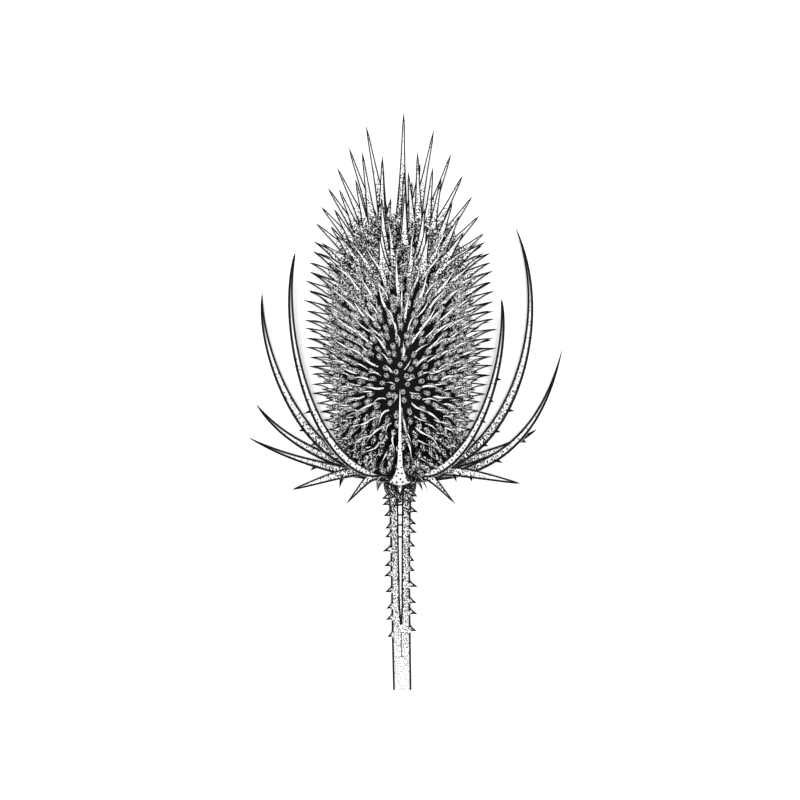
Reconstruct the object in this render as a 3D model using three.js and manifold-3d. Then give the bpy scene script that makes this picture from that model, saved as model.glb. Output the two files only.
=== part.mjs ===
// A dried teasel seed head, cut with a short length of stem and laid on its back: an egg-shaped head of
// packed florets and spines, a whorl of long curved bracts under it, and a four-ridged, prickly stem.
// Millimetres. The stem runs along Y with the head's tip towards +Y, X is to the right, and Z is up from
// the surface that it lies on. The plant is built about its own axis, with y = 0 where the bracts join
// the stem.
import * as THREE from "three";
import { mergeVertices } from "three/addons/utils/BufferGeometryUtils.js";
import Module from "manifold-3d";

const wasm = await Module();
wasm.setup();

// Driving dimensions: the head
const HEAD_LENGTH = 72; // from the whorl of bracts to the top of the dome under the crown
const HEAD_RADIUS = 20.3; // over the florets, at its widest
const HEAD_FOOT = 3.4; // height of the flat foot by which the head stands on the stem
const CORE = 0.92; // radius of the core that the florets stand out of, as a share of the head's
const FLORET_COUNT = 400;
const FLORET_TOP = 65; // height above which the crown's spines stand alone
const FLORET_RADIUS = 1.1;
const FLANK_RINGS = 25; // rings of spines on the flanks
const RING_SPINES = 12; // in each of them
const FLANK_LOW = 4.4; // height of the lowest ring
const FLANK_TOP = 57; // and of the highest
const FLANK_RADIUS = 1.25; // of a spine of the flanks at its sunk root
const SPINE_REACH = 25; // from the axis to the spine tips, at the widest
const SPINE_FAN = 0.36; // how far, in radians, the spines lean from the front and the back towards the sides
const CROWN_HEIGHT = 96.2; // tip of the longest spine above the whorl
const CROWN_CENTRE = 47; // height on the axis that the crown's spines fan out from
const CROWN_RADIUS = 2.1; // of a crown spine at its sunk root
const AXIS_HEIGHT = 22.6; // of the stem's axis above the surface that the head lies on

// Driving dimensions: the bracts and the stem
const BRACT_ROOT_RADIUS = 4.7; // from the axis to the roots of the bracts
const BRACT_RANKS = [1.1, -0.4]; // heights of the two ranks of roots
const KEEL = 0.9; // depth of a bract's keel, as a share of its half width
const FRONT_KEEL = 0.35; // the same for the front bract
const FRONT_FOOT = 5.6; // extra width at the foot of the front bract
const BARB_RADIUS = 0.9;
const COLLAR_RADIUS = 4.3; // swollen top of the stem that carries the bracts
const COLLAR_TOP = 3.1;
const STEM_LENGTH = 54.6; // from the whorl to the cut
const STEM_RADIUS = 2.6; // over the ridges
const STEM_LEAN = 0.6; // sideways drift of the cut end
const STEM_FLAT = 0.837; // radius midway between two ridges, as a share of that over them
const STEM_BAND = 11; // half width in degrees of the flat front and back ridges
const PRICKLE_COUNT = 32;
const PRICKLE_RADIUS = 1.1;
const GAP = 0.3; // kept between neighbouring pieces

const GOLDEN_RATIO = (Math.sqrt(5) - 1) / 2;
const FULL_TURN = 2 * Math.PI;
const UP = new THREE.Vector3(0, 1, 0);
const degrees = THREE.MathUtils.degToRad;
const { lerp, smoothstep } = THREE.MathUtils;

// A scatter between -1 and 1 that is even over many: the fractional parts of multiples of an irrational
// step.
const uneven = (index, step) => 2 * ((index * step) % 1) - 1;

// Straight lines between given points: the value at x.
function between(x, places, values) {
  const above = places.findIndex((place) => place >= x);
  if (above === 0) return values[0];
  if (above < 0) return values[values.length - 1];
  const share = (x - places[above - 1]) / (places[above] - places[above - 1]);
  return lerp(values[above - 1], values[above], share);
}

// Direction away from the axis: azimuth 0 faces up (+Z), and a quarter turn faces right (+X).
function outward(azimuth) {
  return new THREE.Vector3(Math.sin(azimuth), 0, Math.cos(azimuth));
}

// Point at a distance from the axis and a height along it.
function around(azimuth, radius, y) {
  return outward(azimuth).multiplyScalar(radius).setY(y);
}

// A closed geometry as a solid that can be joined and cut.
function solidOf(geometry) {
  const bare = geometry.clone();
  bare.deleteAttribute("normal");
  bare.deleteAttribute("uv");
  const merged = mergeVertices(bare, 1e-4);
  const corners = merged.index.array;
  const triVerts = [];
  for (let i = 0; i < corners.length; i += 3) {
    const [a, b, c] = [corners[i], corners[i + 1], corners[i + 2]];
    if (a !== b && b !== c && c !== a) triVerts.push(a, b, c);
  }
  const vertProperties = merged.attributes.position.array;
  const mesh = new wasm.Mesh({ numProp: 3, vertProperties, triVerts: new Uint32Array(triVerts) });
  return new wasm.Manifold(mesh);
}

// A solid as a geometry for a mesh.
function geometryOf(solid) {
  const { vertProperties, triVerts } = solid.getMesh();
  const geometry = new THREE.BufferGeometry();
  geometry.setAttribute("position", new THREE.BufferAttribute(vertProperties, 3));
  geometry.setIndex(new THREE.BufferAttribute(triVerts, 1));
  geometry.computeVertexNormals();
  return geometry;
}

// A closed skin over a row of rings that each have the same number of points; the ends are closed to a
// point.
function skin(rings, start, end) {
  const sides = rings[0].length;
  const points = [start, ...rings.flat(), end];
  const index = [];
  const at = (ring, side) => 1 + ring * sides + (side % sides);
  for (let side = 0; side < sides; side++) {
    index.push(0, at(0, side + 1), at(0, side));
    for (let ring = 0; ring + 1 < rings.length; ring++) {
      index.push(at(ring, side), at(ring, side + 1), at(ring + 1, side));
      index.push(at(ring + 1, side), at(ring, side + 1), at(ring + 1, side + 1));
    }
    index.push(at(rings.length - 1, side), at(rings.length - 1, side + 1), points.length - 1);
  }
  return new THREE.BufferGeometry().setFromPoints(points).setIndex(index);
}

// A three-sided spike from a sunk root to its tip.
function spike(root, tip, radius) {
  const along = tip.clone().sub(root);
  const cone = new THREE.ConeGeometry(radius, along.length(), 3);
  cone.translate(0, along.length() / 2, 0);
  cone.applyQuaternion(new THREE.Quaternion().setFromUnitVectors(UP, along.normalize()));
  return solidOf(cone.translate(root.x, root.y, root.z));
}

// The head's outline: radius as a share of the widest, at a share of the length. It rises quickly from the
// foot, is widest just below the middle, and closes in a dome.
function egg(share, rise, fall) {
  const curve = (u) => u ** rise * (1 - u) ** fall;
  return curve(THREE.MathUtils.clamp(share, 0, 1)) / curve(rise / (rise + fall));
}
const headRadius = (y) => HEAD_RADIUS * egg(y / HEAD_LENGTH, 0.4, 0.45);
const reachRadius = (y) => SPINE_REACH * egg(y / (CROWN_HEIGHT + 1.3), 0.45, 0.6);

// The bracts. Each lies in one plane through the axis: it leaves its root, swings out and curves up to
// its tip. The three points of a curve are distances from the axis and heights, and guide a Bezier curve
// from the root. A taper is the power by which the width falls towards the tip, and widening is the share
// of the length over which it grows from the root. A barb has a share of the length and the distance that
// it stands out.
const BRACTS = [
  {
    name: "bract_front", azimuth: 0, rank: 1, width: 2.2, taper: 0.8, widening: 0.1,
    curve: [[20, -1.5], [28, 11.5], [26, 24.7]], barbs: [],
  },
  {
    name: "bract_left_1", azimuth: -60, rank: 0, width: 3.8, taper: 0.42, widening: 0.08,
    curve: [[25.4, 1.2], [36.5, 39], [30.9, 58.8]], barbs: [[0.36, 1], [0.43, 2.6]],
  },
  {
    name: "bract_left_2", azimuth: -104, rank: 0, width: 5.2, taper: 0.62, widening: 0.2,
    curve: [[26.5, 3.2], [38.6, 34], [37.2, 49.1]], barbs: [[0.3, 1.4], [0.37, 1.6]],
  },
  {
    name: "bract_left_3", azimuth: -119, rank: 0, width: 4.8, taper: 0.62, widening: 0.2,
    curve: [[21, 4.2], [35.5, 9.9], [43.6, 19.7]], barbs: [],
  },
  {
    name: "bract_left_4", azimuth: -114, rank: 1, width: 5, taper: 0.7, widening: 0.2,
    curve: [[17.3, 3.2], [28.7, 3.6], [44.2, 11]], barbs: [[0.5, 1.7]],
  },
  {
    name: "bract_left_5", azimuth: -96, rank: 1, width: 6.6, taper: 0.6, widening: 0.4,
    curve: [[10, 4.4], [15, 1.6], [28.4, -2.6]], barbs: [[0.55, 3.4]],
  },
  {
    name: "bract_left_6", azimuth: -80, rank: 1, width: 5.6, taper: 0.75, widening: 0.25,
    curve: [[7, 3], [8, 0.8], [14.3, -6.3]], barbs: [],
  },
  {
    name: "bract_right_1", azimuth: 60, rank: 0, width: 3.8, taper: 0.42, widening: 0.08,
    curve: [[22.6, 1], [32.4, 31.2], [30, 46.8]], barbs: [[0.36, 1.3], [0.45, 1.4], [0.54, 1.3], [0.63, 1.6]],
  },
  {
    name: "bract_right_2", azimuth: 104, rank: 0, width: 5.2, taper: 0.62, widening: 0.2,
    curve: [[29.7, 3.2], [42.4, 41.6], [31, 66.3]], barbs: [[0.26, 1.5], [0.32, 1.7], [0.4, 1.9]],
  },
  {
    name: "bract_right_3", azimuth: 114, rank: 1, width: 5, taper: 0.7, widening: 0.2,
    curve: [[27.4, 1.6], [40.7, 10.4], [47.1, 34.5]], barbs: [[0.38, 1.8]],
  },
  {
    name: "bract_right_4", azimuth: 119, rank: 0, width: 4.8, taper: 0.62, widening: 0.2,
    curve: [[22.6, 5.4], [33.1, 7.8], [41.5, 13.1]], barbs: [[0.8, 1.3]],
  },
  {
    name: "bract_right_5", azimuth: 96, rank: 1, width: 6.6, taper: 0.6, widening: 0.4,
    curve: [[10, 4.2], [17, 1.9], [31.7, -1]], barbs: [[0.45, 2.2], [0.62, 1.4]],
  },
  {
    name: "bract_right_6", azimuth: 80, rank: 1, width: 5.6, taper: 0.75, widening: 0.25,
    curve: [[7, 3], [8, 0.8], [14.8, -6.4]], barbs: [],
  },
  {
    name: "bract_back_1", azimuth: 174, rank: 1, width: 3.6, taper: 0.6, widening: 0.2,
    curve: [[14, -1], [20, 0], [21, 8]], barbs: [[0.5, 1.5]],
  },
  {
    name: "bract_back_2", azimuth: -148, rank: 0, width: 3.8, taper: 0.6, widening: 0.2,
    curve: [[16, 1], [25, 5], [25.5, 17]], barbs: [[0.45, 1.5]],
  },
  {
    name: "bract_back_3", azimuth: 148, rank: 0, width: 3.8, taper: 0.6, widening: 0.2,
    curve: [[16, 1], [25, 5], [25.5, 17]], barbs: [[0.5, 1.5]],
  },
];
const BRACT_STEPS = 14;
const isFront = (bract) => bract.azimuth === 0;
const isSide = (bract) => !isFront(bract) && Math.abs(bract.azimuth) < 130;

function bractPath({ azimuth, rank, curve }) {
  const points = [[BRACT_ROOT_RADIUS, BRACT_RANKS[rank]], ...curve];
  return new THREE.CubicBezierCurve3(...points.map(([radius, y]) => around(degrees(azimuth), radius, y)));
}

// Half width at a share of the length: a narrow root that widens and then tapers to the tip. The front
// bract has a broad foot.
function bractHalf(bract, share) {
  const widened = 1 - 0.8 * Math.exp(-((share / bract.widening) ** 2));
  const foot = isFront(bract) ? FRONT_FOOT * Math.exp(-((share / 0.27) ** 2.5)) : 0;
  return (bract.width * (1 - share) ** bract.taper * widened + foot) / 2;
}

// The keel's side of a bract, across its path. It is on the outside of the bend, and the bracts at the
// sides are twisted so that one of their faces lies upwards.
function keelSide(bract, tangent) {
  const outwards = outward(degrees(bract.azimuth));
  const run = tangent.dot(outwards);
  const keel = outwards.multiplyScalar(tangent.y).setY(-run);
  if (!isSide(bract)) return keel;
  const above = new THREE.Vector3(0, 0, 1).addScaledVector(tangent, -tangent.z).normalize();
  const beside = tangent.clone().cross(above);
  return above.addScaledVector(beside, Math.sign(beside.dot(keel))).normalize();
}

function bractSolid(bract) {
  const path = bractPath(bract);
  const depth = isFront(bract) ? FRONT_KEEL : KEEL;
  const rings = [];
  for (let step = 0; step < BRACT_STEPS; step++) {
    const share = step / BRACT_STEPS;
    const centre = path.getPoint(share);
    const tangent = path.getTangent(share);
    const keel = keelSide(bract, tangent);
    const across = tangent.clone().cross(keel);
    const half = bractHalf(bract, share);
    rings.push([
      centre.clone().addScaledVector(keel, depth * half),
      centre.clone().addScaledVector(across, half),
      centre.clone().addScaledVector(across, -half),
    ]);
  }
  const blade = solidOf(skin(rings, path.getPoint(0), path.getPoint(1)));
  const barbs = bract.barbs.map(([share, stand]) => {
    const root = path.getPoint(share);
    const tangent = path.getTangent(share);
    const heading = keelSide(bract, tangent).addScaledVector(tangent, 0.35);
    const tip = root.clone().addScaledVector(heading, KEEL * bractHalf(bract, share) + stand);
    return spike(root, tip, BARB_RADIUS);
  });
  return wasm.Manifold.union([blade, ...barbs]);
}

// Points along every bract with the bract's half width there, so that spines and florets can stand clear
// of them.
const bractPoints = BRACTS.flatMap((bract) => {
  const path = bractPath(bract);
  const shares = Array.from({ length: 40 }, (_, i) => i / 40);
  return shares.map((share) => ({ point: path.getPoint(share), half: bractHalf(bract, share) }));
});
function clearOfBracts(from, to, radius) {
  const line = new THREE.Line3(from, to);
  const nearest = new THREE.Vector3();
  return bractPoints.every(({ point, half }) => {
    line.closestPointToPoint(point, true, nearest);
    return nearest.distanceTo(point) > half + radius + GAP;
  });
}

// Heights that give each of a number of places on a spiral the same share of the head's surface.
function evenHeights(count, low, high) {
  const steps = 400;
  const heights = [low];
  const shares = [0];
  for (let i = 1; i <= steps; i++) {
    const y = lerp(low, high, i / steps);
    const slant = Math.hypot(headRadius(y) - headRadius(heights[i - 1]), y - heights[i - 1]);
    shares.push(shares[i - 1] + headRadius(y) * slant);
    heights.push(y);
  }
  const part = shares[steps] / count;
  return Array.from({ length: count }, (_, i) => between(part * (i + 0.5), shares, heights));
}

// The florets: short studs on a spiral, which stand a little out of the core.
function florets() {
  return evenHeights(FLORET_COUNT, HEAD_FOOT + 1.2, FLORET_TOP).map((y, i) => {
    const azimuth = i * GOLDEN_RATIO * FULL_TURN;
    const lift = between(y, [1, 8, 20, 34, 53, 72], [-2.5, -2, -0.6, 1, 2, 3]);
    const root = around(azimuth, 0.86 * headRadius(y), y);
    const tip = around(azimuth, 1.03 * headRadius(y), y + Math.max(lift, HEAD_FOOT - y));
    return { root, tip, radius: FLORET_RADIUS };
  });
}

// The spines of the flanks, in rings that are each turned on from the one below. They droop low down and
// lean up higher. The rings dip towards the front and back, where the spines droop and rise more than at
// the sides and lean from there towards the sides.
const RISE_HEIGHTS = [3, 12, 20, 27, 34, 45, 53, 60];
const SIDE_RISE = [-2, -0.2, 0.4, 1, 1.7, 3, 4.3, 5.5];
const FRONT_RISE = [-5, -6, -4, 0.5, 5, 9, 12, 15];
const RING_DIP = 2.3; // dip of a ring for each unit of the rise at the sides
function flankSpines() {
  return Array.from({ length: FLANK_RINGS * RING_SPINES }, (_, i) => {
    const ring = Math.floor(i / RING_SPINES);
    const level = lerp(FLANK_LOW, FLANK_TOP, ring / (FLANK_RINGS - 1));
    const azimuth = ((i + GOLDEN_RATIO * ring) * FULL_TURN) / RING_SPINES;
    const facing = Math.cos(azimuth) ** 2;
    const sideways = Math.abs(Math.sin(azimuth));
    const [side, front] = [SIDE_RISE, FRONT_RISE].map((rises) => between(level, RISE_HEIGHTS, rises));
    const dip = RING_DIP * (1 - 0.6 * smoothstep(level, 44, 57));
    const y = level - dip * side * Math.min(1 - sideways, 0.3);
    const rise = lerp(side * sideways, front, facing ** 2);
    const tipHeight = y + rise + 0.25 * uneven(i, 0.7549);
    const cover = headRadius(Math.max(tipHeight, 3)) + 2.2 + 2 * facing;
    const reach = Math.max(reachRadius(tipHeight), cover);
    const lean = SPINE_FAN * Math.tanh(2 * Math.sin(2 * azimuth)) * facing + 0.05 * uneven(i, 0.4302);
    const sunk = (0.86 + 0.04 * facing) * headRadius(y);
    const root = around(azimuth, sunk, Math.max(y - 0.2 * rise, HEAD_FOOT + 0.8));
    const tip = around(azimuth + lean, reach * (1 + 0.025 * uneven(i, 0.5698)), tipHeight);
    return { root, tip, radius: FLANK_RADIUS * (1 + 0.4 * smoothstep(y, 40, 58)) };
  });
}

// The spines of the crown, in rings round a leader. They fan out from one point on the axis. Those on the
// front and back start lower and are shorter, and those at the back are also slimmer.
const CROWN_RINGS = [
  { y: 92, count: 6, reach: 1 },
  { y: 86, count: 8, reach: 1 },
  { y: 83, count: 5, reach: 0.35 },
  { y: 80.5, count: 8, reach: 1 },
  { y: 78, count: 3, reach: 0.18 },
  { y: 75, count: 10, reach: 1 },
  { y: 70, count: 10, reach: 1 },
  { y: 65.5, count: 10, reach: 1 },
]; // height of the tips, how many, and their distance from the axis as a share of the outermost
function crownSpine(azimuth, outerTip, cut) {
  const centre = new THREE.Vector3(0, CROWN_CENTRE, 0);
  const facing = Math.cos(azimuth) ** 2;
  const lowHeight = 34 + 0.25 * outerTip.y;
  const low = around(azimuth, 0.86 * headRadius(lowHeight), lowHeight);
  const root = outerTip.clone().sub(centre).setLength(15).add(centre).lerp(low, 0.8 * facing);
  const shorter = cut * facing * (1 + 0.5 * Math.cos(1.7 * outerTip.y));
  const slimmer = 1 - 0.35 * smoothstep(-Math.cos(azimuth), 0.05, 0.5);
  const tip = root.clone().lerp(outerTip, slimmer ** 0.25 - shorter);
  return { root, tip, radius: CROWN_RADIUS * slimmer };
}
function crownSpines() {
  const spines = CROWN_RINGS.flatMap(({ y, count, reach }) =>
    Array.from({ length: count }, (_, i) => {
      const place = i / count;
      const azimuth = Math.PI / 2 + FULL_TURN * place + 0.08 * Math.sin(6 * Math.PI * place);
      const tip = around(azimuth, reach * reachRadius(y), y);
      return crownSpine(azimuth, tip.setY(y - 0.06 * tip.x), 0.22);
    }),
  );
  return [...spines, crownSpine(Math.PI / 2, new THREE.Vector3(1, CROWN_HEIGHT, 0.4), 0)];
}

function headSolid() {
  const profile = [new THREE.Vector2(0, HEAD_FOOT)];
  const rows = 13;
  for (let i = 0; i < rows; i++) {
    const y = HEAD_FOOT + (HEAD_LENGTH - HEAD_FOOT - 3) * (0.5 - 0.5 * Math.cos((Math.PI * i) / rows));
    profile.push(new THREE.Vector2(CORE * headRadius(y), y));
  }
  profile.push(new THREE.Vector2(0, HEAD_LENGTH - 3));
  const pieces = [solidOf(new THREE.LatheGeometry(profile, 26))];

  for (const { root, tip, radius } of [...florets(), ...flankSpines(), ...crownSpines()]) {
    if (clearOfBracts(root, tip, radius)) pieces.push(spike(root, tip, radius));
  }

  // The tips that the head lies on are pressed level with the surface.
  const below = new THREE.BoxGeometry(80, 140, 20).translate(0, 30, -AXIS_HEIGHT - 10);
  return wasm.Manifold.union(pieces).subtract(solidOf(below));
}

// The stem: a four-ridged rod with a rounded, swollen collar at its top and prickles on its ridges,
// closest under the head. The front and back ridges are flat bands.
function stemRadius(y) {
  const collar = 1 / (1 + Math.exp(-1.7 * (y + 3.4)));
  const rod = STEM_RADIUS * (1 + 0.3 * Math.exp(Math.min(y, 0) / 7) + 0.0012 * y);
  const dome = Math.sqrt(1 - THREE.MathUtils.clamp((y + 0.5) / (COLLAR_TOP + 0.55), 0, 1) ** 2);
  return lerp(rod, COLLAR_RADIUS, collar) * dome;
}
const stemCentre = (y) => new THREE.Vector3(STEM_LEAN * (Math.min(y, 0) / STEM_LENGTH) ** 2, y, 0);
const RIDGES = [STEM_BAND, 90, 180 - STEM_BAND, 180 + STEM_BAND, 270, 360 - STEM_BAND];
const FLATS = [45, 135, 225, 315];
const STEM_SIDES = [...RIDGES, ...FLATS].sort((a, b) => a - b);

function stemSolid() {
  const heights = [-STEM_LENGTH, -40, -26, -14, -8, -5.6, -4.4, -3.4, -2.6, -1.8, -0.5, 1.2, 2.4, 3];
  const rings = heights.map((y) =>
    STEM_SIDES.map((side) => {
      const share = FLATS.includes(side) ? lerp(STEM_FLAT, 1, smoothstep(y, -4, -1.5)) : 1;
      return around(degrees(side), stemRadius(y) * share, 0).add(stemCentre(y));
    }),
  );
  const pieces = [solidOf(skin(rings, stemCentre(-STEM_LENGTH), stemCentre(COLLAR_TOP)))];

  const ridgeOrder = [1, 3, 1, 3, 2, 1, 3, 2]; // quarter turns, taken in turn
  for (let i = 0; i < PRICKLE_COUNT; i++) {
    const y = -3.6 - 39 * ((i + 0.5) / PRICKLE_COUNT) ** 1.25;
    const azimuth = (Math.PI / 2) * ridgeOrder[i % ridgeOrder.length] + 0.06 * uneven(i, 0.7549);
    const centre = stemCentre(y);
    const root = centre.clone().add(around(azimuth, stemRadius(y) - 0.6, 0.25));
    const tip = centre.clone().add(around(azimuth, stemRadius(y) + 1.4 + 0.5 * uneven(i, 0.5698), -0.55));
    pieces.push(spike(root, tip, PRICKLE_RADIUS));
  }
  return wasm.Manifold.union(pieces);
}

// Colours of the dried plant: dark among the spines, paler on the stem and bracts.
const FINISHES = {
  head: new THREE.MeshStandardMaterial({ color: 0x6e6c68, roughness: 0.85, metalness: 0 }),
  bract: new THREE.MeshStandardMaterial({ color: 0xc4c1ba, roughness: 0.7, metalness: 0 }),
  stem: new THREE.MeshStandardMaterial({ color: 0xaaa7a0, roughness: 0.75, metalness: 0 }),
};

function piece(name, solid, finish) {
  const mesh = new THREE.Mesh(geometryOf(solid), finish.clone());
  mesh.name = name;
  return mesh;
}

const plant = new THREE.Group();
plant.add(piece("stem", stemSolid(), FINISHES.stem));
plant.add(piece("seed_head", headSolid(), FINISHES.head));
for (const bract of BRACTS) plant.add(piece(bract.name, bractSolid(bract), FINISHES.bract));

// The origin is on the surface, under the middle of the plant.
const extent = new THREE.Box3().setFromObject(plant);
const middle = extent.getCenter(new THREE.Vector3());
plant.position.set(-middle.x, -middle.y, -extent.min.z);

const teasel = new THREE.Group();
teasel.add(plant);

export default teasel;
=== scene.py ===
import bpy
import numpy as np
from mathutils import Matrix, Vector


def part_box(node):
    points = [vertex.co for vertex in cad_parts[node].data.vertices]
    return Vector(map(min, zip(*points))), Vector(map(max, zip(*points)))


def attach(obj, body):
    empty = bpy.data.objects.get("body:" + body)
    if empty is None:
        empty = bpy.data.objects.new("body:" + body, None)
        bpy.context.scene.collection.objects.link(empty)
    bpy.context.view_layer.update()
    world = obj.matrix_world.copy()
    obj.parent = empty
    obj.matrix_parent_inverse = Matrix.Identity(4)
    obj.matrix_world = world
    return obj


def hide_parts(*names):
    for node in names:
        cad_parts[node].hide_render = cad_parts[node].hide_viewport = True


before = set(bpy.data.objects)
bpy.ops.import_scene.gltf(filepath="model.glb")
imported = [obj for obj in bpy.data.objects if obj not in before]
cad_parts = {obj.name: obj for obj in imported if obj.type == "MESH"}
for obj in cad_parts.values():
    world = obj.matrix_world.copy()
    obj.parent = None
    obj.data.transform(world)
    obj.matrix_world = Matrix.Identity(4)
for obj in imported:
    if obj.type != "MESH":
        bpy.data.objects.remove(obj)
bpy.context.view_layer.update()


# The stem: a hollow, woody, four-sided rod that grew up under the head and was cut across with a knife. Its
# front and back ridges are flat bands between grooves, its side ridges are sharp, and it swells into a
# collar that carries the bracts. Sizes are millimetres about the plant's axis, with y = 0 at the bracts.
MM = 0.001
AXIS_HEIGHT = 22.6  # of the plant's axis over the floor
STEM_LENGTH = 54.6
STEM_RADIUS = 2.6
STEM_LEAN = 0.6  # how far the cut end is to one side
STEM_ROWS = 132
STEM_SIDES = 56
ROD_SWELL = 0.3  # share by which the rod is thicker under the head
SWELL_LENGTH = 7.0
ROD_TAPER = 0.0012  # share of its radius that the rod loses in each millimetre down
COLLAR_RADIUS = 4.3
COLLAR_TOP = 3.1
COLLAR_MIDDLE = -3.4  # height at which the collar has swelled halfway
COLLAR_STEEPNESS = 1.7
COLLAR_ROUND = (-4.0, -1.5)  # heights between which the four sides turn into a round
DOME_FOOT = -0.5  # height at which the collar starts to round off
DOME_SPAN = COLLAR_TOP + 0.55
HOLLOW_DEPTH = 9.0
HOLLOW_RADII = (1.35, 1.5)  # at the floor of the hollow and at the cut
CUT_DISH = 0.1  # how far the cut face dips towards the hollow
SIDE_FALL = 0.5  # how fast the radius falls away from a ridge, for each radian
SIDE_CURVE = 0.38  # how fast it comes back, for each radian squared
BAND_HALF = np.radians(11.0)  # half the angle that a band takes up
BAND_END = -37.6  # height at which the flat bands run out
BAND_FADE = 6.0  # length over which a band narrows to its end
BAND_LOSS = 0.4  # share by which a band is narrower below
BAND_LOSS_RANGE = (-8.0, -34.0)
BAND_JOINTS = (-14.7, -11.6, -9.0, -6.4)  # heights at which the bands are jointed
JOINT_HALF = 0.3
BARENESS = 0.97  # share of its flecks that a band lacks
BARE_RANGE = (-5.0, -7.5)  # heights between which the bands turn bare
BARE_EDGE = 0.05
GROOVE_DEPTH = 0.05  # as a share of the stem's radius
GROOVE_PLACE = 0.08  # angle from the side of the band
GROOVE_WIDTH = 0.07
GROOVE_FADE = 2.0
LINE_PLACE = 0.06  # angle of the dark line in the groove from the side of the band
LINE_RANGE = (-46.0, -39.3)  # heights between which a single fine groove carries on from each band
SINGLE_FINENESS = 1.9  # factor on the distance to a line: above 1 the line is finer, below 1 broader
JOINT_FINENESS = 1.2
SIDE_FINENESS = 0.25
NO_LINE = 9.0  # distance to the nearest dark line where there is none
STIPPLE_HEIGHTS = (-54.6, -44.0, -36.0, -14.0, -4.0, 0.0)  # heights at which the stem's ink is given
STIPPLE_INK = (0.12, 0.28, 0.42, 0.58, 0.8, 0.87)
CUT_INK = 0.12
PRICKLE_COUNT = 32
PRICKLE_RIDGES = (1, 3, 1, 3, 2, 1, 3, 2)  # quarter turns, taken in turn
PRICKLE_TOP = -3.6
PRICKLE_SPAN = 39.0
PRICKLE_THINNING = 1.25  # above 1, they stand further apart lower down
PRICKLE_GAP = 0.42  # the side ridges have no dark line this close to a prickle's root

prickle_ridge = np.resize(PRICKLE_RIDGES, PRICKLE_COUNT)
prickle_share = (np.arange(PRICKLE_COUNT) + 0.5) / PRICKLE_COUNT
prickle_y = PRICKLE_TOP - PRICKLE_SPAN * prickle_share**PRICKLE_THINNING

# The plant's own origin: on its axis, at the bracts.
front_low, front_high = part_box("bract_front")
cut_low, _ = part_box("stem")
WHORL = np.array([(front_low.x + front_high.x) / 2, cut_low.y + STEM_LENGTH * MM, AXIS_HEIGHT * MM])


def add_node(tree, kind, inputs=(), **settings):
    """Adds a shader node, sets its properties, and gives each named or numbered input a value or a link."""
    made = tree.nodes.new("ShaderNode" + kind)
    for key, value in settings.items():
        setattr(made, key, value)
    for key, value in dict(inputs).items():
        if isinstance(value, bpy.types.NodeSocket):
            tree.links.new(value, made.inputs[key])
        else:
            made.inputs[key].default_value = value
    return made


def math_node(tree, operation, *values):
    """One arithmetic step on values or links."""
    return add_node(tree, "Math", enumerate(values), operation=operation).outputs[0]


def mix_node(tree, share, first, second):
    """A blend of two colours: the first where share is 0 and the second where it is 1."""
    mix = add_node(tree, "Mix", {"Factor": share, 6: first, 7: second}, data_type="RGBA")
    return mix.outputs[2]


def attribute(tree, name):
    """A value that the mesh carries at each of its points."""
    return add_node(tree, "Attribute", attribute_name=name).outputs["Fac"]


def falling_step(tree, value, edge, softness):
    """1 where value is under edge and 0 above it, with a soft change between."""
    low = math_node(tree, "SUBTRACT", edge, softness)
    high = math_node(tree, "ADD", edge, softness)
    step = add_node(
        tree,
        "MapRange",
        {"Value": value, "From Min": low, "From Max": high, "To Min": 1.0, "To Max": 0.0},
        interpolation_type="SMOOTHSTEP",
    )
    return step.outputs["Result"]


# Stippling: dark flecks on a pale ground, as many as the ink value asks for, and solid dark along edges. A
# fleck is where the distance to the nearest of many scattered points is under a radius that grows with ink.
FLECK_JITTER = 0.75
FLECK_RADIUS = 0.62  # at full ink, as a share of the step between the points
FLECK_GROWTH = 0.34  # power of ink that the radius follows
SOLID_RADIUS = 0.6  # added at full ink, so that the flecks run together
SOLID_GROWTH = 8.0
FLECK_SOFTNESS = 0.07
LINE_SOFTNESS = 0.3  # as a share of the line's width
MOTTLE_SCALE = 420.0
MOTTLE_DEPTH = 0.12
MOTTLE_RELIEF = 0.5
PALE_ROUGHNESS = 0.78
DARK_ROUGHNESS = 0.6
stippling = bpy.data.node_groups.new("stippling", "ShaderNodeTree")
for label in ("Ink", "Rim", "Line", "Grain"):
    stippling.interface.new_socket(label, in_out="INPUT", socket_type="NodeSocketFloat")
for label in ("Pale", "Dark"):
    stippling.interface.new_socket(label, in_out="INPUT", socket_type="NodeSocketColor")
for label, kind in (("Color", "Color"), ("Roughness", "Float"), ("Height", "Float")):
    stippling.interface.new_socket(label, in_out="OUTPUT", socket_type="NodeSocket" + kind)
given = stippling.nodes.new("NodeGroupInput").outputs
place = add_node(stippling, "TexCoord").outputs["Object"]
scatter = add_node(
    stippling,
    "TexVoronoi",
    {"Vector": place, "Scale": given["Grain"], "Randomness": FLECK_JITTER},
    voronoi_dimensions="3D",
    feature="F1",
).outputs["Distance"]
fleck_growth = math_node(stippling, "POWER", given["Ink"], FLECK_GROWTH)
solid_growth = math_node(stippling, "POWER", given["Ink"], SOLID_GROWTH)
fleck_size = math_node(
    stippling,
    "ADD",
    math_node(stippling, "MULTIPLY", fleck_growth, FLECK_RADIUS),
    math_node(stippling, "MULTIPLY", solid_growth, SOLID_RADIUS),
)
flecks = falling_step(stippling, scatter, fleck_size, FLECK_SOFTNESS)
line_softness = math_node(stippling, "MULTIPLY", given["Line"], LINE_SOFTNESS)
edges = falling_step(stippling, given["Rim"], given["Line"], line_softness)
darkness = math_node(stippling, "MAXIMUM", flecks, edges)
mottle = add_node(
    stippling, "TexNoise", {"Vector": place, "Scale": MOTTLE_SCALE, "Detail": 3.0, "Roughness": 0.6}
).outputs["Fac"]
weathering = math_node(stippling, "MULTIPLY", mottle, MOTTLE_DEPTH)
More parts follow.
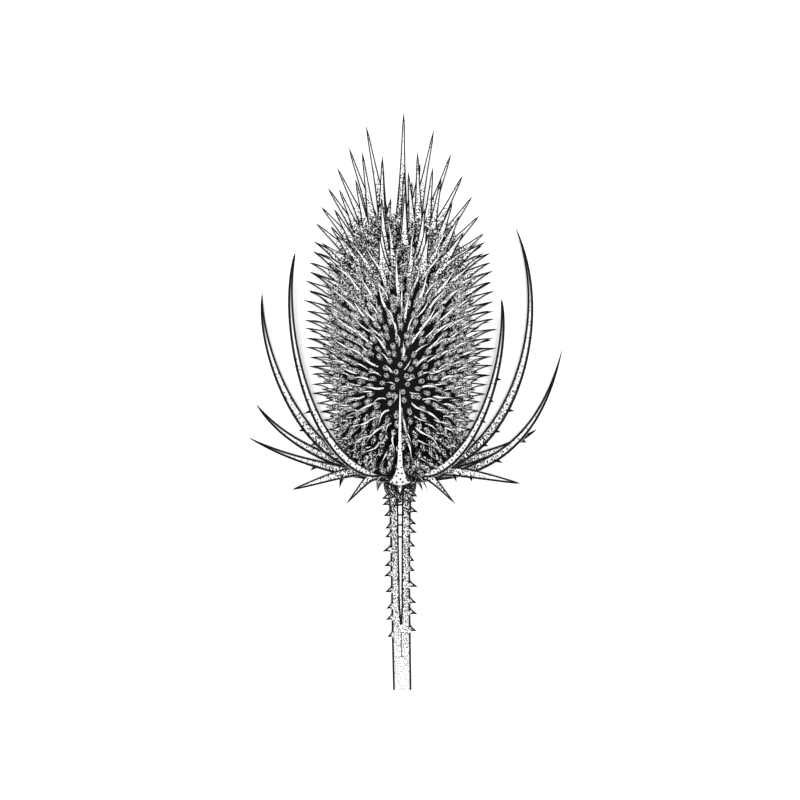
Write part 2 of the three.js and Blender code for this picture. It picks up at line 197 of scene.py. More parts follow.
weathered = mix_node(stippling, weathering, given["Pale"], given["Dark"])
stained = mix_node(stippling, darkness, weathered, given["Dark"])
roughness = add_node(
    stippling, "MapRange", {"Value": darkness, "To Min": PALE_ROUGHNESS, "To Max": DARK_ROUGHNESS}
).outputs["Result"]
swelling = math_node(stippling, "MULTIPLY", mottle, MOTTLE_RELIEF)
height = math_node(stippling, "SUBTRACT", swelling, darkness)
result = stippling.nodes.new("NodeGroupOutput").inputs
stippling.links.new(stained, result["Color"])
stippling.links.new(roughness, result["Roughness"])
stippling.links.new(height, result["Height"])

FIBRE_DARK = 0.004
FIBRE_GRAIN = 2200.0  # scattered points in a metre
FIBRE_SHEEN = 0.05
RELIEF_STRENGTH = 0.35
RELIEF_DEPTH = 0.08


def stippled(name, line, pale, grain=FIBRE_GRAIN):
    """A dry plant fibre: pale, with flecks by the ink attribute and dark lines where the rim attribute, a
    distance in metres, is under the line's width."""
    material = bpy.data.materials.new(name)
    material.use_nodes = True
    tree = material.node_tree
    shader = tree.nodes["Principled BSDF"]
    shader.inputs["Specular IOR Level"].default_value = FIBRE_SHEEN
    surface = add_node(
        tree,
        "Group",
        node_tree=stippling,
        name="surface",
        inputs={
            "Ink": attribute(tree, "ink"),
            "Rim": attribute(tree, "rim"),
            "Line": line * MM,
            "Grain": grain,
            "Pale": (pale, pale, pale, 1.0),
            "Dark": (FIBRE_DARK, FIBRE_DARK, FIBRE_DARK, 1.0),
        },
    ).outputs
    relief = add_node(
        tree,
        "Bump",
        {"Strength": RELIEF_STRENGTH, "Distance": RELIEF_DEPTH * MM, "Height": surface["Height"]},
    )
    tree.links.new(surface["Color"], shader.inputs["Base Color"])
    tree.links.new(surface["Roughness"], shader.inputs["Roughness"])
    tree.links.new(relief.outputs["Normal"], shader.inputs["Normal"])
    return material


def skin(name, grid, material, slot, node, creases=(), **values):
    """A piece made of closed skins. grid is (copies, rows, sides, 3) points in the plant's millimetres. The
    sides go round anticlockwise seen from the last row, and the first and last rows are single points.
    values are attributes on the same grid. The columns named in creases are sharp edges."""
    copies, rows, sides, _ = grid.shape

    def listed(net):
        """The grid's points in one row for each copy, with the end rows as one point."""
        between = net[:, 1:-1].reshape(copies, (rows - 2) * sides, *net.shape[3:])
        return np.concatenate([net[:, :1, 0], between, net[:, -1:, 0]], axis=1)

    points = listed(grid)
    stride = points.shape[1]
    ring = 1 + sides * np.arange(rows - 2)[:, None] + np.arange(sides)
    turned = np.roll(ring, -1, axis=1)
    quads = np.stack([ring[:-1], turned[:-1], turned[1:], ring[1:]], axis=-1).reshape(-1, 4)
    root = np.stack([0 * ring[0], turned[0], ring[0]], axis=-1)
    tip = np.stack([0 * ring[0] + stride - 1, ring[-1], turned[-1]], axis=-1)
    shift = stride * np.arange(copies)[:, None, None]
    faces = (quads + shift).reshape(-1, 4).tolist()
    faces += (np.concatenate([root, tip]) + shift).reshape(-1, 3).tolist()

    mesh = bpy.data.meshes.new(name)
    mesh.from_pydata((points.reshape(-1, 3) * MM + WHORL).tolist(), [], faces)
    for key, value in values.items():
        layer = mesh.attributes.new(key, "FLOAT", "POINT")
        layer.data.foreach_set("value", listed(np.broadcast_to(value, grid.shape[:3])).ravel())
    mesh.polygons.foreach_set("use_smooth", np.ones(len(mesh.polygons), bool))
    if creases:
        column = np.broadcast_to(np.arange(sides), (copies, rows, sides)).copy()
        column[:, [0, -1]] = -1
        column = listed(column).ravel()
        ends = np.empty(2 * len(mesh.edges), np.int32)
        mesh.edges.foreach_get("vertices", ends)
        first, second = column[ends.reshape(-1, 2)].T
        sharp = (first == second) & np.isin(first, creases)
        mesh.attributes.new("sharp_edge", "BOOLEAN", "EDGE").data.foreach_set("value", sharp)
    mesh.materials.append(material)
    piece = bpy.data.objects.new(name, mesh)
    bpy.context.scene.collection.objects.link(piece)
    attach(piece, "root")
    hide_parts(node)


def polar(radius, turn, y):
    """Points by distance from the axis, direction round it (0 up, a quarter turn right) and height."""
    return np.stack(np.broadcast_arrays(radius * np.sin(turn), y, radius * np.cos(turn)), axis=-1)


def smooth(low, high, value):
    """0 at low, 1 at high, an eased change between and none beyond. It falls where low is above high."""
    share = np.clip((value - low) / (high - low), 0.0, 1.0)
    return share * share * (3.0 - 2.0 * share)


def stem_radius(y):
    """A nearly even rod that thickens by an exponential towards the head, an S-shaped step out to the
    collar, and a quarter of an ellipse that rounds the collar off."""
    collar = 1.0 / (1.0 + np.exp(-COLLAR_STEEPNESS * (y - COLLAR_MIDDLE)))
    rod = STEM_RADIUS * (1.0 + ROD_SWELL * np.exp(np.minimum(y, 0.0) / SWELL_LENGTH) + ROD_TAPER * y)
    dome = np.sqrt(1.0 - np.clip((y - DOME_FOOT) / DOME_SPAN, 0.0, 1.0) ** 2)
    return (rod + (COLLAR_RADIUS - rod) * collar) * dome


def stem_centre(y):
    """The axis drifts sideways towards the cut, as the square of the distance."""
    drift = STEM_LEAN * (np.minimum(y, 0.0) / STEM_LENGTH) ** 2
    return np.stack(np.broadcast_arrays(drift, y, 0.0 * y), axis=-1)


def stem_grid():
    """Rows: floor and wall of the hollow, cut face, rod and top. Columns: once round. The radius is the
    rod's, less a curve of the angle from the nearest ridge, which makes four sides, and a narrow bell for
    each groove. Also gives the ink, and the distance to the nearest dark line in metres."""
    joints = np.array(BAND_JOINTS)
    along = np.linspace(-STEM_LENGTH, COLLAR_TOP, STEM_ROWS)
    along = np.sort(np.concatenate([along, joints, joints - JOINT_HALF, joints + JOINT_HALF]))
    hollow_floor = HOLLOW_DEPTH - STEM_LENGTH
    y = np.concatenate([[hollow_floor, hollow_floor, CUT_DISH - STEM_LENGTH], along, [COLLAR_TOP]])[:, None]
    size = np.concatenate([[0.0, *HOLLOW_RADII], stem_radius(along), [0.0]])[:, None]
    turn = np.linspace(0.0, 2.0 * np.pi, STEM_SIDES, endpoint=False)[None, :]
    from_side = np.abs(np.abs((turn + np.pi) % (2.0 * np.pi) - np.pi) - np.pi / 2.0)
    from_band = np.pi / 2.0 - from_side
    narrowed = 1.0 - BAND_LOSS * smooth(*BAND_LOSS_RANGE, y)
    band = BAND_HALF * smooth(BAND_END, BAND_END + BAND_FADE, y) * narrowed
    away = np.minimum(from_side, np.maximum(from_band - band, 0.0))
    four_sided = 1.0 - smooth(*COLLAR_ROUND, y)
    flat = 1.0 - (SIDE_FALL * away - SIDE_CURVE * away**2) * four_sided
    bell = np.exp(-(((from_band - band - GROOVE_PLACE) / GROOVE_WIDTH) ** 2))
    groove = GROOVE_DEPTH * bell * smooth(BAND_END, BAND_END + GROOVE_FADE, y)
    points = polar(size * (flat - groove), turn, 0.0) + stem_centre(y)

    # Dark lines: in the grooves, across the joints, and along the side ridges between the prickles.
    band_rim = np.abs(from_band - band - LINE_PLACE) * size
    band_rim = np.where(y > BAND_END, band_rim, NO_LINE)
    is_single = (y > LINE_RANGE[0]) & (y < LINE_RANGE[1])
    band_rim = np.where(is_single, SINGLE_FINENESS * from_band * size, band_rim)
    joint_rim = JOINT_FINENESS * np.abs(y[:, :, None] - joints).min(axis=2)
    band_rim = np.where(from_band < band, np.minimum(band_rim, joint_rim), band_rim)
    side_ridge = np.where(turn < np.pi, 1, 3)[:, :, None]
    is_rooted = (np.abs(y[:, :, None] - prickle_y) < PRICKLE_GAP) & (side_ridge == prickle_ridge)
    side_rim = SIDE_FINENESS * from_side * size + NO_LINE * is_rooted.any(axis=2)
    rim = np.minimum(band_rim, side_rim)
    rim[:3] = NO_LINE
    on_band = smooth(0.0, BARE_EDGE, band - from_band) * smooth(*BARE_RANGE, y)
    ink = np.interp(y, STIPPLE_HEIGHTS, STIPPLE_INK) * (1.0 - BARENESS * on_band)
    # The floor and wall of the hollow are painted black, as shade.
    ink[:2] = 1.0
    ink[2:4] = CUT_INK
    return points[None], ink[None], rim[None] * MM


stem_fibre = stippled("stem_fibre", line=0.27, pale=0.9)
stem_points, stem_ink, stem_rim = stem_grid()
skin("stem_rod", stem_points, stem_fibre, "stem", "stem", ink=stem_ink, rim=stem_rim)


# Prickles: stiff, woody, three-edged thorns that grew out of the stem's ridges, close together under the
# head and further apart below. Their tips are black and point out and a little down.
PRICKLE_LENGTH = 1.6
LENGTH_SPREAD = 0.5
TURN_SPREAD = 0.06
PRICKLE_ROOT = 0.6  # depth of its root under the stem's surface
PRICKLE_LIFT = 0.25
PRICKLE_DROP = 0.8
DROP_CURVE = 1.5
PRICKLE_KEEL = 1.5
SCATTER_STEPS = (0.7549, 0.5698, 0.4302, 0.3247, 0.2451)  # the first powers of one irrational number
EDGES = (0, 2, 4)  # columns of a three-edged blade that are edges


def uneven(index, power):
    """A scatter between -1 and 1 that is even over many: the fractional parts of multiples of a step."""
    return 2.0 * ((index * SCATTER_STEPS[power]) % 1.0) - 1.0


def unit(vectors):
    """The same directions with a length of one."""
    return vectors / np.linalg.norm(vectors, axis=-1, keepdims=True)


def three_edged(path, keel_side, half, keel, bulge=0.12):
    """A blade with three sharp edges, carried along a path. path is (copies, rows, 3), keel_side the
    direction of the keel, half the half width there and keel the keel's depth as a share of the half width.
    Columns alternate between an edge and the middle of the face that follows it, which stands out by the
    share bulge. Also gives each point's distance to the nearest edge, in metres."""
    run = unit(np.gradient(path, axis=1))
    out = unit(keel_side - run * np.sum(run * keel_side, axis=-1, keepdims=True))
    across = np.cross(run, out)
    wide = half[..., None]
    ridge = path + out * wide * keel
    left = path + across * wide
    right = path - across * wide
    to_left = (ridge - path) * 0.5 + (left - path) * 0.5
    to_right = (ridge - path) * 0.5 + (right - path) * 0.5
    columns = [
        ridge,
        path + to_left * (1.0 + bulge),
        left,
        path - out * wide * bulge,
        right,
        path + to_right * (1.0 + bulge),
    ]
    slant = 0.5 * np.sqrt(1.0 + keel * keel) * half
    zero = np.zeros_like(half)
    rim = np.stack([zero, slant, zero, half, zero, slant], axis=-1)
    return np.stack(columns, axis=2), rim * MM


prickle = np.arange(PRICKLE_COUNT)
prickle_turn = (np.pi / 2.0) * prickle_ridge + TURN_SPREAD * uneven(prickle, 0)
prickle_length = PRICKLE_LENGTH + LENGTH_SPREAD * uneven(prickle, 1)
thorn_along = np.array([0.0, 0.02, 0.3, 0.5, 0.7, 0.85, 1.0])
thorn_ink = np.interp(thorn_along, [0.0, 0.3, 0.5, 0.7, 1.0], [0.6, 0.35, 0.2, 1.0, 1.0])[None, :, None]
prickle_foot = stem_radius(prickle_y)[:, None] - PRICKLE_ROOT
prickle_reach = prickle_foot + (prickle_length[:, None] + PRICKLE_ROOT) * thorn_along
prickle_hook = prickle_y[:, None] + PRICKLE_LIFT - PRICKLE_DROP * thorn_along**DROP_CURVE
prickle_path = polar(prickle_reach, prickle_turn[:, None], prickle_hook)
prickle_path = prickle_path + stem_centre(prickle_y)[:, None] * [1, 0, 1]
prickle_half = np.interp(thorn_along, [0.0, 0.02, 0.3, 0.5, 0.7, 1.0], [0.0, 1.3, 0.74, 0.46, 0.29, 0.0])
prickle_half = prickle_half * np.ones((PRICKLE_COUNT, 1))
# Two of the edges lie in the plane of the stem, and the keel is towards the back.
prickle_keel = polar(1.0, prickle_turn + np.pi / 2.0, 0.0) * np.sign(np.sin(prickle_turn))[:, None]
prickle_points, prickle_rim = three_edged(prickle_path, prickle_keel[:, None], prickle_half, PRICKLE_KEEL)
thorn_fibre = stippled("prickle_fibre", line=0.52, pale=0.9)
skin(
    "stem_prickles",
    prickle_points,
    thorn_fibre,
    "stem",
    "stem",
    creases=EDGES,
    ink=thorn_ink,
    rim=prickle_rim,
)


# Collar scales: small, dry, pointed leaves that hang from the rim of the collar between the roots of the
# bracts. They grew in one with it. Each has a pale face, dark edges and a black tip.
# For each: direction round the stem in degrees, and distance from the axis and height of root, bend, tip.
COLLAR_SCALES = (
    (0, (3.6, -1.0), (4.8, -1.4), (4.2, -4.6)),
    (-48, (3.6, 0.6), (8.4, 2.6), (8.0, -2.8)),
    (46, (3.6, 0.6), (6.6, 3.4), (10.2, -3.0)),
    (176, (3.6, -1.0), (4.8, -1.4), (4.4, -4.8)),
    (-132, (3.6, -0.6), (7.4, 0.6), (8.0, -3.6)),
    (134, (3.6, -0.6), (7.4, 0.6), (8.2, -3.4)),
)
SCALE_KEEL = 0.5
SCALE_DROOP = -0.4  # how far the keel's direction, towards the stem, is turned down
SCALE_FINENESS = 1.5  # their lines are finer than the prickles' by this


def arc(root, bend, tip, along):
    """Points on curves from root to tip, drawn towards bend: (1-s)(1-s) root + 2s(1-s) bend + ss tip."""
    s = along[None, :, None]
    return (1 - s) ** 2 * root[:, None] + 2 * s * (1 - s) * bend[:, None] + s * s * tip[:, None]


scale_turn, *scale_places = (np.array(part) for part in zip(*COLLAR_SCALES))
scale_turn = np.radians(scale_turn)
scale_along = np.linspace(0.0, 1.0, 12)
scale_path = arc(*(polar(place[:, 0], scale_turn, place[:, 1]) for place in scale_places), scale_along)
scale_half = np.interp(scale_along, [0.0, 0.01, 0.3, 0.6, 1.0], [0.0, 0.5, 0.85, 0.62, 0.0])
scale_half = scale_half * np.ones((len(scale_turn), 1))
scale_keel = polar(-1.0, scale_turn, SCALE_DROOP)[:, None]
scale_points, scale_rim = three_edged(scale_path, scale_keel, scale_half, SCALE_KEEL)
scale_ink = np.interp(scale_along, [0.0, 0.25, 0.5, 0.85, 1.0], [0.7, 0.45, 0.1, 0.3, 1.0])[None, :, None]
skin(
    "collar_scales",
    scale_points,
    thorn_fibre,
    "stem",
    "stem",
    creases=EDGES,
    ink=scale_ink,
    rim=SCALE_FINENESS * scale_rim,
)


# Bracts: the stiff, narrow leaves of the whorl under the head. Each grew out of the collar and curves out
# and up, the lowest ones down, to a sharp tip. It is dry fibre with dark edges, dots scattered over its
# pale faces and a few barbs on its keel.
BRACT_ROOT_RADIUS = 4.1
BRACT_RANKS = (1.1, -0.4)  # heights of the roots of the upper and the lower rank
BRACT_KEEL = 0.9
FRONT_KEEL = 0.35
BACK_TURN = 130  # degrees round the stem past which a bract is at the back
ROOT_PINCH = 0.8  # share of its width that a bract lacks at its root
FLARE = 5.6  # extra width at the foot of the front bract
FLARE_SHARE = 0.27
FLARE_CURVE = 2.5
BARB_LEAN = 0.35
BARB_KEEL = 1.4
DOT_STEP = 1.05 * MM
DOT_RADIUS = 0.27 * MM
DOT_SOFTNESS = 0.06 * MM
DOT_JITTER = 0.7
DOT_COLOUR = (0.02, 0.02, 0.02, 1.0)
LONG_BRACT = 46.0  # a bract shorter than this is stippled further along and has finer lines
MOST_STRETCH = 2.2
STRETCH_FINENESS = 0.4  # how much of the stretch goes into the lines
ROOM = (0.35, 0.8)  # share of its half width that a broad part keeps clear, and a length added to that
# For each: direction round the stem in degrees, rank, width, how fast it tapers, share of its length over
# which it widens from the root, how much painted shade darkens its foot, the three guide points (distance
# from the axis and height) of its curve, and the barbs: share of its length and how far each stands out.
BRACTS = {
    "bract_front": (0, 1, 2.2, 0.8, 0.1, 0.0, [(20, -1.5), (28, 11.5), (26, 24.7)], []),
    "bract_left_1": (
        -60, 0, 3.8, 0.42, 0.08, 0.0, [(25.4, 1.2), (36.5, 39), (30.9, 58.8)], [(0.36, 1), (0.43, 2.6)],
    ),
    "bract_left_2": (
        -104, 0, 5.2, 0.62, 0.2, 1.0, [(26.5, 3.2), (38.6, 34), (37.2, 49.1)], [(0.3, 1.4), (0.37, 1.6)],
    ),
    "bract_left_3": (-119, 0, 4.8, 0.62, 0.2, 1.0, [(21, 4.2), (35.5, 9.9), (43.6, 19.7)], []),
    "bract_left_4": (-114, 1, 5, 0.7, 0.2, 0.9, [(17.3, 3.2), (28.7, 3.6), (44.2, 11)], [(0.5, 1.7)]),
    "bract_left_5": (-96, 1, 6.6, 0.6, 0.4, 1.0, [(10, 4.4), (15, 1.6), (28.4, -2.6)], [(0.55, 3.4)]),
    "bract_left_6": (-80, 1, 5.6, 0.75, 0.25, 0.85, [(7, 3), (8, 0.8), (14.3, -6.3)], []),
    "bract_right_1": (
        60, 0, 3.8, 0.42, 0.08, 0.0, [(22.6, 1), (32.4, 31.2), (30, 46.8)],
        [(0.36, 1.3), (0.45, 1.4), (0.54, 1.3), (0.63, 1.6)],
    ),
    "bract_right_2": (
        104, 0, 5.2, 0.62, 0.2, 1.0, [(29.7, 3.2), (42.4, 41.6), (31, 66.3)],
        [(0.26, 1.5), (0.32, 1.7), (0.4, 1.9)],
    ),
    "bract_right_3": (114, 1, 5, 0.7, 0.2, 0.9, [(27.4, 1.6), (40.7, 10.4), (47.1, 34.5)], [(0.38, 1.8)]),
    "bract_right_4": (119, 0, 4.8, 0.62, 0.2, 1.0, [(22.6, 5.4), (33.1, 7.8), (41.5, 13.1)], [(0.8, 1.3)]),
    "bract_right_5": (
        96, 1, 6.6, 0.6, 0.4, 1.0, [(10, 4.2), (17, 1.9), (31.7, -1)], [(0.45, 2.2), (0.62, 1.4)],
    ),
    "bract_right_6": (80, 1, 5.6, 0.75, 0.25, 0.85, [(7, 3), (8, 0.8), (14.8, -6.4)], []),
    "bract_back_1": (174, 1, 3.6, 0.6, 0.2, 0.8, [(14, -1), (20, 0), (21, 8)], [(0.5, 1.5)]),
    "bract_back_2": (-148, 0, 3.8, 0.6, 0.2, 0.8, [(16, 1), (25, 5), (25.5, 17)], [(0.45, 1.5)]),
    "bract_back_3": (148, 0, 3.8, 0.6, 0.2, 0.8, [(16, 1), (25, 5), (25.5, 17)], [(0.5, 1.5)]),
}


def bezier(guides, share):
    """Points and directions of a cubic curve with four guide points, at shares of its length."""
    p0, p1, p2, p3 = (np.asarray(p, float) for p in guides)
    s = np.asarray(share)[:, None]
    point = (1 - s) ** 3 * p0 + 3 * s * (1 - s) ** 2 * p1 + 3 * s * s * (1 - s) * p2 + s**3 * p3
    slope = 3 * (1 - s) ** 2 * (p1 - p0) + 6 * s * (1 - s) * (p2 - p1) + 3 * s * s * (p3 - p2)
    return point, unit(slope)


def bract_frame(azimuth, rank, guides, share):
    """Centre line and keel direction of a bract. Its curve lies in the plane of the axis and its azimuth,
    and the keel is on the outside of the bend. Those at the sides are twisted so that one face lies up."""
    root = (BRACT_ROOT_RADIUS, BRACT_RANKS[rank])
    point, slope = bezier([root, *guides], share)
    turn = np.radians(azimuth)
    centre = polar(point[:, 0], turn, point[:, 1])
    keel = polar(slope[:, 1], turn, -slope[:, 0])
    if 0 < abs(azimuth) < BACK_TURN:
        run = polar(slope[:, 0], turn, slope[:, 1])
        up = unit(np.array([0.0, 0.0, 1.0]) - run * run[:, 2:])
        beside = np.cross(run, up)
        beside *= np.sign(np.sum(beside * keel, axis=1, keepdims=True))
        keel = (up + beside) / np.sqrt(2.0)
    return centre, keel


def bract_half(name, width, taper, widening, share):
    """Half width: a power of the distance to the tip, less a bell at the root. The front one also has a
    broad foot, a second bell."""
    half = 0.5 * width * (1.0 - share) ** taper * (1.0 - ROOT_PINCH * np.exp(-((share / widening) ** 2)))
    if name == "bract_front":
        half = half + 0.5 * FLARE * np.exp(-((share / FLARE_SHARE) ** FLARE_CURVE))
    return half


# The dots: rounds about scattered points of each face, by the distance along it and from its middle line.
bract_fibre = stippled("bract_fibre", line=0.62, pale=0.95, grain=2500.0)
bract_tree = bract_fibre.node_tree
place_on_face = add_node(
    bract_tree,
    "CombineXYZ",
    {"X": attribute(bract_tree, "middle"), "Y": attribute(bract_tree, "run")},
).outputs["Vector"]
dot_scatter = add_node(
    bract_tree,
    "TexVoronoi",
    {"Vector": place_on_face, "Scale": 1.0 / DOT_STEP, "Randomness": DOT_JITTER},
    voronoi_dimensions="2D",
    feature="F1",
).outputs["Distance"]
from_dot = math_node(bract_tree, "MULTIPLY", dot_scatter, DOT_STEP)
past_dot = math_node(bract_tree, "SUBTRACT", from_dot, attribute(bract_tree, "dot"))
dots = falling_step(bract_tree, past_dot, 0.0, DOT_SOFTNESS)
base_colour = bract_tree.nodes["Principled BSDF"].inputs["Base Color"]
plain = base_colour.links[0].from_socket
bract_tree.links.new(mix_node(bract_tree, dots, plain, DOT_COLOUR), base_colour)

share = np.linspace(0.0, 1.0, 46)
dot = np.interp(share, [0.0, 0.45, 0.75, 0.85], [1.0, 0.9, 0.5, -0.3]) * DOT_RADIUS
tip_ink = np.interp(share, [0.9, 0.95, 1.0], [0.0, 0.9, 1.0])
bract_spots = []
bract_halves = []
for name, (azimuth, rank, width, taper, widening, shade, guides, barbs) in BRACTS.items():
    is_front = name == "bract_front"
    centre, keel = bract_frame(azimuth, rank, guides, share)
    half = bract_half(name, width, taper, widening, share)
    bract_spots.append(centre)
    bract_halves.append(np.minimum(half, ROOM[0] * half + ROOM[1]))
    closed_half = half * (share > 0)
    keel_depth = FRONT_KEEL if is_front else BRACT_KEEL
    points, rim = three_edged(centre[None], keel[None], closed_half[None], keel_depth)
    if is_front:
        # Its ridge is round and bare. Its lines thin out towards the tip, its root is dark, and its back is
        # painted dark as shade.
        creases = EDGES[1:]
        rim[:, :, 0] = 2.0 * rim[:, :, 1]
        thinning = 1.0 + 2.4 * smooth(0.2, 0.6, share) + 6.0 * smooth(0.6, 0.95, share)
        rim = rim * thinning[None, :, None]
        middle = half[None, :, None] * MM * np.array([0.0, 0.5, 1.0, 1.0, -1.0, -0.5])
        run = centre[:, 1]
        face_ink = np.interp(share, [0.1, 0.12, 0.14, 0.34, 0.45], [1.0, 1.0, 0.12, 0.08, 0.0])
        # The back column is painted dark as shade.
        blade_ink = np.maximum(face_ink[:, None], [0.0, 0.0, 0.0, 0.8, 0.0, 0.0])
    else:
        creases = EDGES
        middle = np.array([1.0, 0.0, -1.0, 0.0, 1.0, 0.0]) * np.roll(rim, 1, axis=2)
        run = np.concatenate([[0.0], np.cumsum(np.linalg.norm(np.diff(centre, axis=0), axis=1))])
        stretch = np.clip(LONG_BRACT / run[-1], 1.0, MOST_STRETCH)
        rim = rim * (1.0 - STRETCH_FINENESS + STRETCH_FINENESS * stretch)
        # The foot is stippled darker as painted shade where the bracts crowd at the collar; the tip is
        # dark.
        foot_ink = np.interp(share / stretch, [0.0, 0.12, 0.28, 0.45, 0.6], [0.95, 0.85, 0.58, 0.2, 0.0])
        blade_ink = np.maximum(foot_ink * shade, tip_ink)[:, None]
    skin(
        name + "_blade",
        points,
        bract_fibre,
        "bract",
        name,
        creases=creases,
        ink=blade_ink[None],
        rim=rim,
        middle=middle,
        run=(run * MM)[None, :, None],
        dot=dot[None, :, None],
    )

    if barbs:
        stand, beyond = np.array(barbs).T
        centre, keel = bract_frame(azimuth, rank, guides, stand)
        ahead, _ = bract_frame(azimuth, rank, guides, stand + 0.01)
        onward = unit(ahead - centre)
        heading = keel + BARB_LEAN * onward
        reach = (bract_half(name, width, taper, widening, stand) * BRACT_KEEL + beyond)[:, None, None]
        path = centre[:, None] + heading[:, None] * reach * thorn_along[None, :, None]
        barb_half = np.interp(thorn_along, [0.0, 0.02, 0.4, 1.0], [0.0, 0.9, 0.55, 0.0])
        barb_half = barb_half * np.ones((len(stand), 1))
        barb_points, barb_rim = three_edged(path, onward[:, None], barb_half, BARB_KEEL)
        skin(
            name + "_barbs",
            barb_points,
            thorn_fibre,
            "bract",
            name,
            creases=EDGES,
            ink=thorn_ink,
            rim=barb_rim,
        )
bract_spots = np.concatenate(bract_spots)
bract_halves = np.concatenate(bract_halves)


# The receptacle: the pithy egg at the heart of the head, which the florets and spines grew out of. It is
# painted dark as the shade between them, and shows only in the gaps.
HEAD_LENGTH = 72.0
HEAD_RADIUS = 20.3
HEAD_EGG = (0.4, 0.45)  # powers of the distance from its foot and from its top
HEART_FOOT = 1.6
HEART_TOP = HEAD_LENGTH - 3.0
HEART_SHARE = 0.84  # size of the receptacle as a share of the head over its florets
HEART_ROWS = 40
HEART_SIDES = 48
HEART_FADE = 0.32  # how much less ink it has under the crown
HEART_FADE_RANGE = (46.0, 58.0)


def egg(share, rise, fall):
    """Radius of an egg as a share of its widest: share**rise * (1 - share)**fall, scaled to peak at 1."""
    peak = rise / (rise + fall)
    return share**rise * (1 - share) ** fall / (peak**rise * (1 - peak) ** fall)


def head_radius(y):
    """The head over its florets, without its spines: an egg of the height as a share of its length."""
    return HEAD_RADIUS * egg(np.clip(y / HEAD_LENGTH, 0.0, 1.0), *HEAD_EGG)


heart_rise = 0.5 - 0.5 * np.cos(np.linspace(0.0, np.pi, HEART_ROWS))
heart_y = HEART_FOOT + (HEART_TOP - HEART_FOOT) * heart_rise
heart_radius = HEART_SHARE * head_radius(heart_y)
heart_radius[-1] = 0.0
heart_y = np.concatenate([[HEART_FOOT], heart_y])
heart_radius = np.concatenate([[0.0], heart_radius])
heart_turn = np.linspace(0.0, 2.0 * np.pi, HEART_SIDES, endpoint=False)
heart_points = polar(heart_radius[:, None], heart_turn[None, :], heart_y[:, None])
heart_pith = stippled("heart_pith", line=0.1, pale=0.85)
# Its ink is painted shade: solid dark, a little less under the crown.
heart_ink = (1.0 - HEART_FADE * smooth(*HEART_FADE_RANGE, heart_y))[None, :, None]
skin("receptacle", heart_points[None], heart_pith, "head", "seed_head", ink=heart_ink, rim=NO_LINE * MM)


# Spines: the stiff, woody bracts that grew between the florets and give the teasel its use. Each is
# three-edged, with a foot stippled dark as painted shade, a clean pale shaft and dark edges. They droop low
# down, lean up higher, and are longest at the crown, where they stand in rings round a leader.
SPINE_REACH = 25.0
REACH_EGG = (0.45, 0.6)
SPINE_FOOT = 0.86  # distance of a spine's foot from the axis as a share of the head's radius
SPINE_MARGIN = (0.3, 1.3)  # gap that is kept to a bract, and more for each unit of a spine's half width
SPINE_KEEL = 1.73
FLANK_RINGS = 25
RING_SPINES = 12
FLANK_LOW = 4.4
FLANK_TOP = 57.0
FLANK_SCATTER = (0.25, 0.025, 0.05)  # of a tip's height, of its distance as a share, and of its lean
FRONT_FOOT = 0.04  # added to the share SPINE_FOOT at the front and back
FOOT_DROP = 0.2  # share of its rise by which a foot starts lower
FRONT_ARCH = (0.5, 1.5)  # height of the arch at the front and back, and how much more halfway up
SIDE_ARCH = 0.8
FLANK_SIZE = 0.9  # half width of a flank spine
FRONT_SLIMNESS = 0.61  # share of that which it lacks at the front and back
HIGH_STOUTNESS = 0.3  # added to it under the crown
FINER_SHARE = 0.7  # size and rise of a finer spine as a share of the others'
# The least that a tip stands out of the florets at the sides, and how much more at the front and back.
TIP_CLEARANCE = (2.2, 2.0)
FINER_CLEARANCE = (0.6, 3.2)  # the same of the finer ones, which stand out no further
RISE_HEIGHTS = (3, 12, 20, 27, 34, 45, 53, 60)  # heights at which the rise from foot to tip is given
SIDE_RISE = (-2.0, -0.2, 0.4, 1.0, 1.7, 3.0, 4.3, 5.5)
FRONT_RISE = (-5.0, -6.0, -4.0, 0.5, 5.0, 9.0, 12.0, 15.0)
RING_DIP = 2.3  # dip of a ring towards the front and back for each unit of the rise at the sides
MOST_DIP = 0.3  # share of the way to the front at which a ring stops dipping
HIGH_DIP_LOSS = 0.6  # share by which the rings under the crown dip less
SPINE_FAN = 0.36  # how far, in radians, the spines lean from the front and the back towards the sides
LOW_BULGE = 2.2  # how far the low ones on the front and back bend outwards
WAVES = (0.75, 0.5)  # most by which a flank spine waves from side to side, and bows to one side
GOLDEN_RATIO = (np.sqrt(5.0) - 1.0) / 2.0
CROWN_HEIGHT = 96.2
CROWN_CENTRE = np.array([0.0, 47.0, 0.0])  # point on the axis that the crown's spines fan out from
CROWN_FOOT = 15.0  # distance of their feet from that point
CROWN_SIZE = 1.9  # half width of a crown spine at its foot
CROWN_TILT = 0.06  # how much lower the crown is on the right, for each unit across
CROWN_UNEVENNESS = 0.08  # how far, in radians, the spines of a ring stand from even places
CROWN_FRONT_FOOT = (34.0, 0.25)  # height of a foot on the front: a base, and a share of the tip's height
CROWN_FRONT_PULL = 0.8  # how far the feet on the front and back move there
CROWN_FRONT_LOSS = 0.22  # share of its length that a spine lacks there
CROWN_BACK_LOSS = 0.35  # share of its width that a spine lacks at the back
LEADER_TIP = (1.0, CROWN_HEIGHT, 0.4)
# For each ring of the crown: height of the tips, how many, and their distance from the axis as a share of
# the outermost.
CROWN_RINGS = (
    (92.0, 6, 1.0),
    (86.0, 8, 1.0),
    (83.0, 5, 0.35),
    (80.5, 8, 1.0),
    (78.0, 3, 0.18),
    (75.0, 10, 1.0),
    (70.0, 10, 1.0),
    (65.5, 10, 1.0),
)


def reach_radius(y):
    """The outer egg that the spine tips end on, a little longer than the crown is high."""
    return SPINE_REACH * egg(np.clip(y / (CROWN_HEIGHT + 1.3), 0.0, 1.0), *REACH_EGG)


def clear_of(paths, spots, halves, margin):
    """Which of the paths (copies, rows, 3) keep a margin from round spots of given half widths."""
    gap = np.linalg.norm(paths[:, :, None] - spots, axis=-1) - halves
    return gap.min(axis=(1, 2)) > margin


